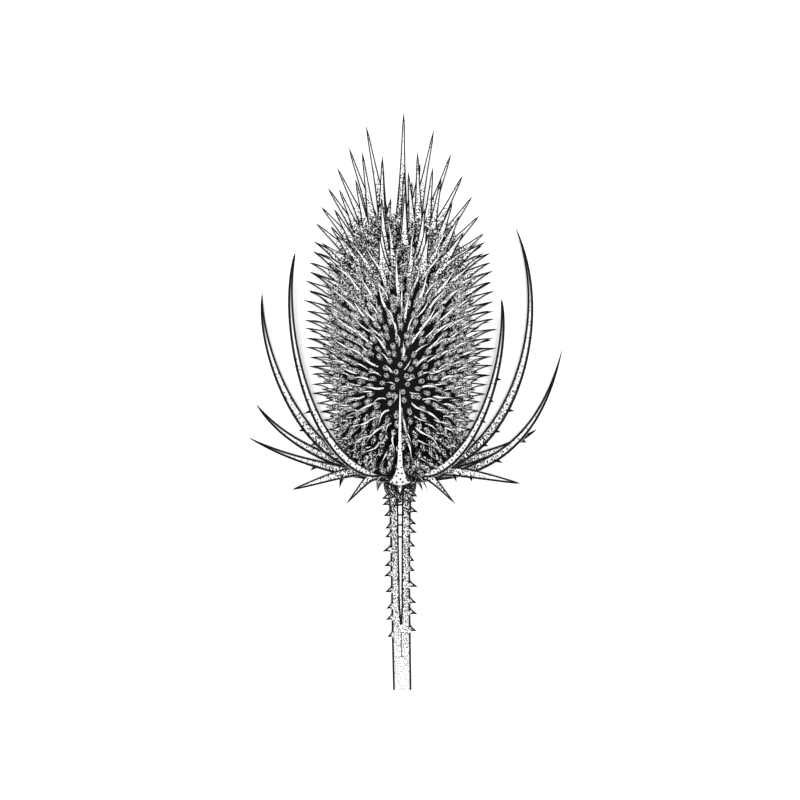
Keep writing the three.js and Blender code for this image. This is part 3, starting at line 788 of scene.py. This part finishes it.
# On the flanks they stand in rings that are each turned on from the one below and dip towards the front and
# back, where the spines droop and rise more than at the sides. Finer ones stand between the rings.
ring = np.concatenate([np.arange(FLANK_RINGS), np.arange(FLANK_RINGS - 1) + 0.5]).repeat(RING_SPINES)
is_finer = ring % 1.0 > 0.0
finer_share = np.where(is_finer, FINER_SHARE, 1.0)
flank = np.arange(len(ring))
level = FLANK_LOW + (FLANK_TOP - FLANK_LOW) * ring / (FLANK_RINGS - 1)
flank_turn = (flank + GOLDEN_RATIO * ring) * 2.0 * np.pi / RING_SPINES
facing = np.cos(flank_turn) ** 2
sideways = np.abs(np.sin(flank_turn))
side_rise = np.interp(level, RISE_HEIGHTS, SIDE_RISE)
front_rise = np.interp(level, RISE_HEIGHTS, FRONT_RISE)
dip = RING_DIP * (1.0 - HIGH_DIP_LOSS * smooth(44.0, 57.0, level))
flank_y = level - dip * side_rise * np.minimum(1.0 - sideways, MOST_DIP)
flank_rise = side_rise * sideways + (front_rise - side_rise * sideways) * facing**2
flank_rise = flank_rise * finer_share
flank_tip_y = flank_y + flank_rise + FLANK_SCATTER[0] * uneven(flank, 0)
floret_level = head_radius(np.maximum(flank_tip_y, 3.0))
least_tip_r = floret_level + TIP_CLEARANCE[0] + TIP_CLEARANCE[1] * facing
finer_tip_r = floret_level + FINER_CLEARANCE[0] + FINER_CLEARANCE[1] * facing
flank_tip_r = np.where(is_finer, finer_tip_r, np.maximum(reach_radius(flank_tip_y), least_tip_r))
flank_tip_r = flank_tip_r * (1.0 + FLANK_SCATTER[1] * uneven(flank, 1))
parting = np.tanh(2.0 * np.sin(2.0 * flank_turn)) * facing
flank_lean = SPINE_FAN * parting + FLANK_SCATTER[2] * uneven(flank, 2)
flank_tip = polar(flank_tip_r, flank_turn + flank_lean, flank_tip_y)
flank_foot_r = (SPINE_FOOT + FRONT_FOOT * facing) * head_radius(flank_y)
flank_foot = polar(flank_foot_r, flank_turn, flank_y - FOOT_DROP * flank_rise)
flank_size = FLANK_SIZE * (1.0 - FRONT_SLIMNESS * smooth(0.05, 0.3, facing))
flank_size = (flank_size + HIGH_STOUTNESS * smooth(40.0, 58.0, flank_y)) * finer_share
halfway_up = smooth(16.0, 28.0, flank_y) - smooth(46.0, 60.0, flank_y)
front_arch = FRONT_ARCH[0] + FRONT_ARCH[1] * halfway_up
side_arch = SIDE_ARCH * smooth(8.0, 30.0, flank_y)
flank_arch = side_arch + (front_arch - side_arch) * facing
flank_bulge = LOW_BULGE * smooth(28.0, 14.0, flank_y) * facing

# In the crown they fan out from one point on the axis. Those on the front and back start lower and are
# shorter, and those at the back are also slimmer.
ring_y, ring_count, ring_reach = np.array(CROWN_RINGS).T
ring_y = np.repeat(ring_y, ring_count.astype(int))
ring_reach = np.repeat(ring_reach, ring_count.astype(int))
place_on_ring = np.concatenate([np.arange(number) / number for _, number, _ in CROWN_RINGS])
crown_shift = CROWN_UNEVENNESS * np.sin(6.0 * np.pi * place_on_ring)
crown_turn = np.pi / 2.0 + 2.0 * np.pi * place_on_ring + crown_shift
crown_tip = polar(ring_reach * reach_radius(ring_y), crown_turn, ring_y)
crown_tip[:, 1] -= CROWN_TILT * crown_tip[:, 0]
crown_tip = np.vstack([crown_tip, LEADER_TIP])
crown_turn = np.append(crown_turn, np.pi / 2.0)
from_centre = crown_tip - CROWN_CENTRE
centre_distance = np.linalg.norm(from_centre, axis=1, keepdims=True)
crown_foot = CROWN_CENTRE + CROWN_FOOT * from_centre / centre_distance
front_y = CROWN_FRONT_FOOT[0] + CROWN_FRONT_FOOT[1] * crown_tip[:, 1]
front_foot = polar(SPINE_FOOT * head_radius(front_y), crown_turn, front_y)
crown_foot = crown_foot + (front_foot - crown_foot) * CROWN_FRONT_PULL * np.cos(crown_turn)[:, None] ** 2
shorter = CROWN_FRONT_LOSS * np.cos(crown_turn) ** 2 * (1.0 + 0.5 * np.cos(1.7 * crown_tip[:, 1]))
slimmer = 1.0 - CROWN_BACK_LOSS * smooth(0.05, 0.5, -np.cos(crown_turn))
crown_tip = crown_foot + (crown_tip - crown_foot) * (slimmer**0.25 - shorter)[:, None]
crown_size = CROWN_SIZE * slimmer

# Each is a curve from foot to tip. The crown's are straight, and the flanks' arch, bend outwards and wave a
# little within the surface that they lie along.
straight = np.zeros(len(crown_tip))
spine_foot = np.concatenate([flank_foot, crown_foot])
spine_tip = np.concatenate([flank_tip, crown_tip])
spine_size = np.concatenate([flank_size, crown_size])
spine_arch = np.concatenate([flank_arch, straight])[:, None] * np.array([0.0, 1.0, 0.0])
outward = unit(spine_foot * [1.0, 0.0, 1.0])
spine_bulge = np.concatenate([flank_bulge, straight])[:, None] * outward
elbow = (spine_foot + spine_tip) / 2.0 + spine_arch + spine_bulge
spine_along = np.array([0.0, 0.03, 0.15, 0.3, 0.45, 0.6, 0.75, 0.9, 1.0])
spine_path = arc(spine_foot, elbow, spine_tip, spine_along)
spine = np.arange(len(spine_foot))
is_crown = spine >= len(flank_foot)
fronting = np.concatenate([facing, straight])
wave_side = np.cross(unit(spine_tip - spine_foot), outward) * ~is_crown[:, None]
wave = WAVES[0] * uneven(spine, 3)[:, None] * np.sin(2.0 * np.pi * spine_along)
wave = wave + WAVES[1] * uneven(spine, 4)[:, None] * np.sin(np.pi * spine_along)
spine_path = spine_path + wave[:, :, None] * wave_side[:, None]
# Those that would touch a bract are left out.
bract_margin = SPINE_MARGIN[0] + SPINE_MARGIN[1] * np.minimum(spine_size, 1.0)
kept = clear_of(spine_path, bract_spots, bract_halves, bract_margin)
spine_path = spine_path[kept]
flank_taper = np.array([0.0, 0.8, 0.95, 1.0, 0.72, 0.5, 0.34, 0.17, 0.0])
front_taper = np.array([0.0, 0.8, 1.0, 0.9, 0.56, 0.4, 0.29, 0.17, 0.0])
crown_taper = np.array([0.0, 1.0, 0.92, 0.7, 0.5, 0.36, 0.26, 0.18, 0.0])
spine_taper = flank_taper + (front_taper - flank_taper) * fronting[:, None]
spine_taper = np.where(is_crown[:, None], crown_taper, spine_taper)[kept]
spine_half = spine_taper * spine_size[kept][:, None]
# The flat side of each lies upwards, and the keel is under it. Those under the head are pressed level.
underneath = np.array([0.0, 0.25, -1.0])
spine_points, spine_rim = three_edged(spine_path, underneath, spine_half, SPINE_KEEL)
spine_points[..., 2] = np.maximum(spine_points[..., 2], -AXIS_HEIGHT)
finer_line = (FLANK_SIZE / spine_size[kept]) ** 0.4 * (1.0 + 1.8 * fronting[kept])
crown_line = 1.0 + (0.25 + 0.45 * spine_along) * is_crown[kept][:, None]
spine_rim = spine_rim * (finer_line[:, None] * crown_line)[:, :, None]
# Ink along each spine: the foot and lower part are painted shade where the spines crowd, and the tip is
# dark.
flank_ink = np.array([1.0, 0.6, 0.2, 0.06, 0.01, 0.0, 0.0, 0.1, 0.8])
crown_ink = np.array([1.0, 0.85, 0.72, 0.6, 0.4, 0.16, 0.05, 0.5, 1.0])
high_up = smooth(42.0, 58.0, spine_foot[kept][:, 1:2])
spine_ink = (flank_ink + (crown_ink - flank_ink) * high_up)[:, :, None]
spine_fibre = stippled("spine_fibre", line=0.4, pale=0.97)
skin(
    "spines",
    spine_points,
    spine_fibre,
    "head",
    "seed_head",
    creases=EDGES,
    ink=spine_ink,
    rim=spine_rim,
)


# Florets: the dried flowers, packed over the receptacle in a spiral between the spines. Each is a small
# stippled club of papery fibre, painted dark at its foot as the shade between them, with a round top and a
# dark eye where the flower fell.
FLORET_COUNT = 1450
FLORET_LOW = HEART_FOOT + 1.8
FLORET_TOP = 65.0  # height above which the crown's spines stand alone
FLORET_FOOT = 0.8  # distance of its foot from the axis as a share of the head's radius
FLORET_REACH = 0.98  # the same of its top
FLORET_SCATTER = (0.4, 0.7, 0.02, 0.08)  # in height, sideways, and of its reach and girth as shares
FLORET_DROP = 0.4  # how much lower its foot starts
BRACT_GAP = 0.3
SPINE_GAP = (0.1, 0.25)  # at the sides, and how much more at the front and back
EYE_LOSS = 0.3 * MM  # added to the distance from the tip where the eye fades out
FLORET_SIDES = 6
LIFT_HEIGHTS = (4, 8, 14, 20, 27, 34, 45, 60)  # heights at which the lift from foot to top is given
FLORET_LIFT = (-2.2, -4.2, -3.8, -1.8, 0.0, 1.2, 2.6, 3.0)


def even_heights(count, low, high):
    """Heights that give each of a number of places on a spiral the same share of the head's surface, which
    is the running sum of slant times radius."""
    y = np.linspace(low, high, 2000)
    radius = head_radius(y)
    share = np.cumsum(np.hypot(np.gradient(radius), np.gradient(y)) * radius)
    return np.interp((np.arange(count) + 0.5) / count, share / share[-1], y)


floret = np.arange(FLORET_COUNT)
floret_y = even_heights(FLORET_COUNT, FLORET_LOW, FLORET_TOP) + FLORET_SCATTER[0] * uneven(floret, 4)
floret_shift = FLORET_SCATTER[1] * uneven(floret, 0) / np.maximum(head_radius(floret_y), 4.0)
floret_turn = floret * GOLDEN_RATIO * 2.0 * np.pi + floret_shift
floret_along = np.array([0.0, 0.05, 0.45, 0.7, 0.86, 0.95, 1.0])
floret_lift = np.interp(floret_y, LIFT_HEIGHTS, FLORET_LIFT)
floret_foot = polar(FLORET_FOOT * head_radius(floret_y), floret_turn, floret_y - FLORET_DROP)
floret_reach = FLORET_REACH + FLORET_SCATTER[2] * uneven(floret, 1)
floret_top = polar(head_radius(floret_y) * floret_reach, floret_turn, floret_y + floret_lift)
floret_path = floret_foot[:, None] + (floret_top - floret_foot)[:, None] * floret_along[:, None]
# Those that would touch a bract are left out, and those whose top would touch a spine.
spine_gap = SPINE_GAP[0] + SPINE_GAP[1] * np.cos(floret_turn) ** 2
kept = clear_of(floret_path, bract_spots, bract_halves, BRACT_GAP)
kept &= clear_of(floret_path[:, -3:], spine_path.reshape(-1, 3), spine_half.ravel(), spine_gap)
floret_path = floret_path[kept]
floret_run = unit(floret_path[:, -1] - floret_path[:, 0])
beside = polar(1.0, floret_turn[kept] + np.pi / 2.0, 0.0)
above = np.cross(floret_run, beside)
# They are clubs round the middle of the head, pointed spindles low down and fat buds high up.
higher = smooth(38.0, 54.0, floret_y[kept])[:, None]
pointed = smooth(24.0, 12.0, floret_y[kept])[:, None]
club = np.array([0.0, 0.55, 0.62, 0.66, 0.64, 0.42, 0.0])
spindle = np.array([0.0, 0.85, 0.81, 0.68, 0.47, 0.29, 0.0])
bud = np.array([0.0, 1.1, 1.1, 0.98, 0.82, 0.55, 0.0])
girth = club + (spindle - club) * pointed + (bud - club) * higher
girth = girth * (1.0 + FLORET_SCATTER[3] * uneven(floret[kept], 2))[:, None]
corner = np.linspace(0.0, 2.0 * np.pi, FLORET_SIDES, endpoint=False)[:, None]
spoke = beside[:, None] * np.cos(corner) + above[:, None] * np.sin(corner)
floret_points = floret_path[:, :, None] + girth[:, :, None, None] * spoke[:, None]
# Ink along each floret: the dark foot is painted shade between the florets.
club_ink = np.array([0.9, 0.8, 0.64, 0.5, 0.4, 0.12, 0.3])
spindle_ink = np.array([1.0, 0.97, 0.87, 0.74, 0.64, 0.5, 0.55])
bud_ink = np.array([1.0, 0.95, 0.8, 0.71, 0.69, 0.69, 0.72])
floret_ink = club_ink + (bud_ink - club_ink) * higher + (spindle_ink - club_ink) * pointed
# Painted light: the tops, which face the light overhead, are painted greyer, and the sides, which face away
# from it, paler.
club_tone = np.array([0.5, 0.5, 0.82, 0.8, 0.58, 0.46, 0.3])
bud_tone = np.array([0.5, 0.5, 0.8, 0.8, 0.75, 0.7, 0.7])
floret_tone = club_tone + (bud_tone - club_tone) * higher
# The eye is a round of one radius about the tip, which fades out on the spindles and buds.
floret_rim = np.array([1.0, 1.0, 1.0, 1.0, 0.6, 0.38, 0.0]) * MM + EYE_LOSS * (higher + pointed)
floret_fibre = stippled("floret_fibre", line=0.26, pale=0.8)
floret_tree = floret_fibre.node_tree
# The pale colour follows this painted light, greyer on the lit tops and paler on the shaded sides.
floret_tree.links.new(attribute(floret_tree, "tone"), floret_tree.nodes["surface"].inputs["Pale"])
skin(
    "florets",
    floret_points,
    floret_fibre,
    "head",
    "seed_head",
    ink=floret_ink[:, :, None],
    rim=floret_rim[:, :, None],
    tone=floret_tone[:, :, None],
)


# The studio: a plain pale floor under the plant, one broad soft light straight overhead and an even pale
# sky, with the camera looking straight down.
bpy.ops.mesh.primitive_plane_add(size=6.0)
floor = bpy.context.object
floor.name = "floor"
paper = bpy.data.materials.new("floor_paper")
paper.use_nodes = True
paper_shader = paper.node_tree.nodes["Principled BSDF"]
paper_shader.inputs["Base Color"].default_value = (0.95, 0.95, 0.95, 1.0)
paper_shader.inputs["Roughness"].default_value = 0.9
floor.data.materials.append(paper)

lamp = bpy.data.objects.new("overhead", bpy.data.lights.new("overhead", "SUN"))
lamp.data.energy = 2.4
lamp.data.angle = np.radians(4.0)
bpy.context.scene.collection.objects.link(lamp)
world = bpy.data.worlds.new("sky")
world.use_nodes = True
sky = world.node_tree.nodes["Background"]
sky.inputs["Color"].default_value = (1.0, 1.0, 1.0, 1.0)
sky.inputs["Strength"].default_value = 0.9
bpy.context.scene.world = world
bpy.context.scene.view_settings.view_transform = "Standard"

FIELD = 208.0  # width of the picture at the height of the plant's axis
FIELD_MIDDLE = 20.8  # height on the plant's axis that the camera looks at
LENS = 180.0
SENSOR = 36.0
camera = bpy.data.objects.new("camera", bpy.data.cameras.new("camera"))
camera.data.lens = LENS
camera.data.sensor_width = SENSOR
camera.location = WHORL + np.array([0.0, FIELD_MIDDLE, FIELD * LENS / SENSOR]) * MM
bpy.context.scene.collection.objects.link(camera)
bpy.context.scene.camera = camera
